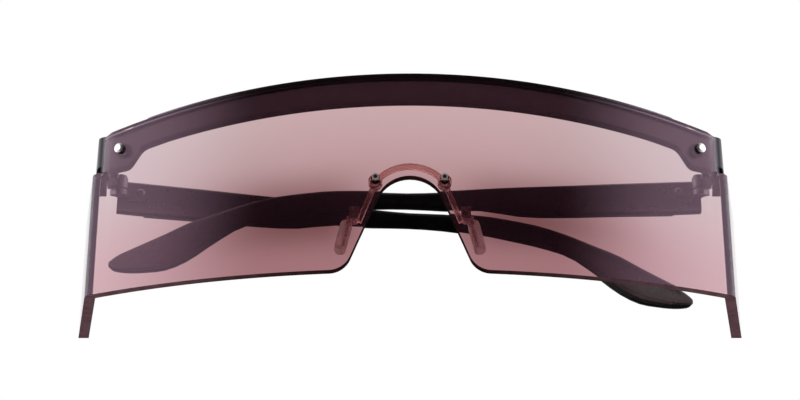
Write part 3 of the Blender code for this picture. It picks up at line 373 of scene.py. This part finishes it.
LENS, EDGE, CHAMFER_HIGHLIGHT = lens_material(), lens_edge_material(), lens_chamfer_highlight_material()
FRAME = gloss_plastic("frame_black", (0.0030, 0.0028, 0.0036), (0.0065, 0.0060, 0.0078),
                      (0.20, 0.25), 0.36, 1, (0.92, 0.86, 1.0, 1), 1.8)
TEMPLE = gloss_plastic("temple_black", (0.0012, 0.0012, 0.0014), (0.0026, 0.0025, 0.0028),
                       (0.26, 0.36), 0.10, index=1.7)
polish_and_shade(FRAME, 0.16, 0.92, 0.10)
polish_and_shade(TEMPLE, 0.03, 0.90)
NUT = gloss_plastic("nut_black", (0.004, 0.004, 0.005), (0.008, 0.008, 0.009),
                    (0.40, 0.55), 0.08, 3)
ARM = gloss_plastic("arm_smoke", lin(128, 110, 116), lin(158, 138, 143),
                    (0.2, 0.34), 0.4, 3, clear=0.3)
CORE = gloss_plastic("pad_core_red", (0.72, 0.40, 0.41), (0.86, 0.54, 0.55),
                     (0.2, 0.32), 0.3, 3, index=1.3, clear=0.8)
BRIDGE, PAD = bridge_material(), pad_material()
STEEL = metal("steel_bright", (0.66, 0.65, 0.66), (0.84, 0.83, 0.84), 0.18)
DARK = metal("steel_dark", (0.045, 0.043, 0.047), (0.09, 0.086, 0.09), 0.28)
HINGE = metal("hinge_steel", (0.090, 0.080, 0.088), (0.16, 0.145, 0.155), 0.30)
PIN = metal("steel_grey", (0.38, 0.29, 0.27), (0.52, 0.42, 0.40), 0.30, 0.5)

# The longest entry that a node's name starts with gives its material
BY_NAME = {
    "shield_lens": LENS, "brow_bar": FRAME, "lens_screw": STEEL, "lens_nut": NUT,
    "nose_bridge": BRIDGE, "bridge_screw": PIN, "bridge_nut": DARK, "pad_arm": ARM,
    "pad_core": CORE, "nose_pad": PAD, "frame_hinge": HINGE, "frame_leaf_screw": DARK,
    "hinge_screw": HINGE, "temple_hinge": HINGE, "temple_rivet": HINGE,
    "temple_left": TEMPLE, "temple_right": TEMPLE, "temple_core": DARK,
}
for name, obj in nodes.items():
    key = max((k for k in BY_NAME if name.startswith(k)), key=len)
    obj.data.materials.clear()
    obj.data.materials.append(BY_NAME[key].m)


# The pane

def pane_side(face):
    """True for a face on one of the pane's two large sides, and False for one on its rim."""
    centre, normal = face.calc_center_median(), face.normal
    if abs(normal.z) > UPRIGHT:
        return False
    radial = Vector((centre.x, centre.y - LENS_FRONT_Y - LENS_RADIUS, 0)).normalized()
    if abs(normal.dot(radial)) > PARALLEL:
        return True
    if centre.z > WING_TOP or centre.y < FOLD_Y:
        return False
    side = math.copysign(1, centre.x)
    wing = Vector((side * math.cos(WING_SPLAY), -math.sin(WING_SPLAY), 0))
    return abs(normal.dot(wing)) > PARALLEL


def make_pane():
    """The pane with a fine chamfer round its rim and its rim in its own finish."""
    source = nodes["shield_lens"]
    bm = bmesh.new()
    bm.from_mesh(source.data)
    bmesh.ops.remove_doubles(bm, verts=bm.verts, dist=MERGE_GAP)
    bmesh.ops.recalc_face_normals(bm, faces=bm.faces)
    weight = bm.edges.layers.float.new("bevel_weight_edge")
    for face in bm.faces:
        face.smooth = True
        face.material_index = 0 if pane_side(face) else 1
    for edge in bm.edges:
        kinds = {face.material_index for face in edge.link_faces}
        edge.smooth = len(kinds) == 1 and edge.calc_face_angle(0) < SMOOTH_ANGLE
        edge[weight] = float(len(kinds) > 1)
    mesh = bpy.data.meshes.new("lens_pane")
    bm.to_mesh(mesh)
    bm.free()
    for mat in (LENS, EDGE, CHAMFER_HIGHLIGHT):
        mesh.materials.append(mat.m)
    pane = bpy.data.objects.new("lens_pane", mesh)
    scene.collection.objects.link(pane)
    bevel = pane.modifiers.new("chamfer", "BEVEL")
    bevel.limit_method = "WEIGHT"
    bevel.width = LENS_BEVEL
    bevel.segments = 1
    bevel.material = 2
    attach(pane, "front")
    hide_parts("shield_lens")


# Painted shade in the screw sockets

def make_socket_shade(name):
    """A flat dark six-sided sheet on the front of a bridge screw: painted shade of its socket.
    """
    low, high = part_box(name)
    x, z = (low[0] + high[0]) / 2, (low[2] + high[2]) / 2
    bm = bmesh.new()
    bmesh.ops.create_circle(bm, cap_ends=True, radius=SOCKET_SHADE_RADIUS, segments=6)
    turn = Matrix.Rotation(math.radians(90), 4, "X")
    bmesh.ops.transform(bm, verts=bm.verts, matrix=turn)
    bmesh.ops.recalc_face_normals(bm, faces=bm.faces)
    mesh = bpy.data.meshes.new(name + "_socket")
    bm.to_mesh(mesh)
    bm.free()
    # Painted shade: the dark sheet stands for the shade inside the socket
    mesh.materials.append(DARK.m)
    socket = bpy.data.objects.new(name + "_socket", mesh)
    socket.location = (x, low[1] - SOCKET_SHADE_LIFT, z)
    scene.collection.objects.link(socket)
    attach(socket, "front")


# Floor, world, lamp and camera

def make_floor():
    """Pale floor that takes shadows from above, and isn't there from below or in reflections."""
    mat = Mat("floor_pale", Roughness=0.7)
    mat.colour(mat.between(mat.noise(3, 3), (0.85, 0.85, 0.86), (0.88, 0.88, 0.885)))
    back = mat.add("ShaderNodeNewGeometry").outputs["Backfacing"]
    clear = mat.add("ShaderNodeBsdfTransparent")
    looked_at = mat.either_path(mat.add("ShaderNodeLightPath"))
    both = mat.add("ShaderNodeMixShader")
    gone = mat.math("MAXIMUM", back, mat.math("SUBTRACT", 1.0, looked_at))
    mat.put(gone, both.inputs[0])
    mat.put(mat.s.outputs[0], both.inputs[1])
    mat.put(clear.outputs[0], both.inputs[2])
    mat.put(both.outputs[0], mat.out.inputs["Surface"])
    mesh = bpy.data.meshes.new("floor")
    corners = [(x * FLOOR_HALF, y * FLOOR_HALF, 0)
               for x, y in ((-1, -1), (1, -1), (1, 1), (-1, 1))]
    mesh.from_pydata(corners, [], [(0, 1, 2, 3)])
    mesh.materials.append(mat.m)
    floor = bpy.data.objects.new("floor", mesh)
    floor.location.z = -FLOOR_DROP
    scene.collection.objects.link(floor)


def studio_level(tree, x, y, z):
    """Strength of what reflections see: bright to the sides and behind, dim below."""
    side = tree.span(tree.math("ABSOLUTE", x), *GLOW_SIDES)
    front = tree.span(y, *GLOW_FADE)
    glow = tree.times(tree.times(side, front), GLOW)
    level = tree.math("ADD", glow, tree.span(y, *ROOM_BACK))
    level = tree.math("ADD", level, tree.span(y, *FAR_BACK))
    return tree.times(level, tree.span(z, *ROOM_BELOW))


def make_world():
    """Soft studio: shaped for reflections, nearly even for the rest, white to the camera."""
    world = bpy.data.worlds.new("studio")
    scene.world = world
    tree = Tree(world)
    tree.t.nodes.clear()
    out = tree.add("ShaderNodeOutputWorld")
    split = tree.add("ShaderNodeSeparateXYZ")
    tree.put(tree.add("ShaderNodeTexCoord").outputs["Generated"], split.inputs[0])
    x, y, z = split.outputs
    path = tree.add("ShaderNodeLightPath")
    strength = tree.add("ShaderNodeMix", data_type="FLOAT")
    tree.put(path.outputs["Is Glossy Ray"], strength.inputs[0])
    tree.put(tree.span(y, *PLAIN_BACK), strength.inputs[2])
    tree.put(studio_level(tree, x, y, z), strength.inputs[3])
    lit = tree.add("ShaderNodeBackground")
    lit.inputs["Color"].default_value = WORLD_COLOUR
    tree.put(strength.outputs[0], lit.inputs["Strength"])
    white = tree.add("ShaderNodeBackground")
    white.inputs["Color"].default_value = WHITE
    both = tree.add("ShaderNodeMixShader")
    tree.put(tree.either_path(path), both.inputs[0])
    tree.put(lit.outputs[0], both.inputs[1])
    tree.put(white.outputs[0], both.inputs[2])
    tree.put(both.outputs[0], out.inputs["Surface"])


def make_lamp():
    light = bpy.data.lights.new("overhead_soft", "AREA")
    light.shape = "RECTANGLE"
    light.size, light.size_y = LAMP_SIZE
    light.energy = LAMP_POWER
    lamp = bpy.data.objects.new("overhead_soft", light)
    lamp.location = LAMP_PLACE
    scene.collection.objects.link(lamp)


def make_camera():
    """Looks up at the front from below, as the photo does."""
    data = bpy.data.cameras.new("photo_camera")
    data.lens = CAMERA_LENS
    data.sensor_width = CAMERA_SENSOR
    data.shift_x = CAMERA_SHIFT
    data.clip_start = CAMERA_NEAR
    camera = bpy.data.objects.new("photo_camera", data)
    camera.location = CAMERA_PLACE
    camera.rotation_euler = (CAMERA_PITCH, 0, 0)
    scene.collection.objects.link(camera)
    scene.camera = camera


make_pane()
for screw in ("bridge_screw_left", "bridge_screw_right"):
    make_socket_shade(screw)
make_floor()
make_world()
make_lamp()
make_camera()
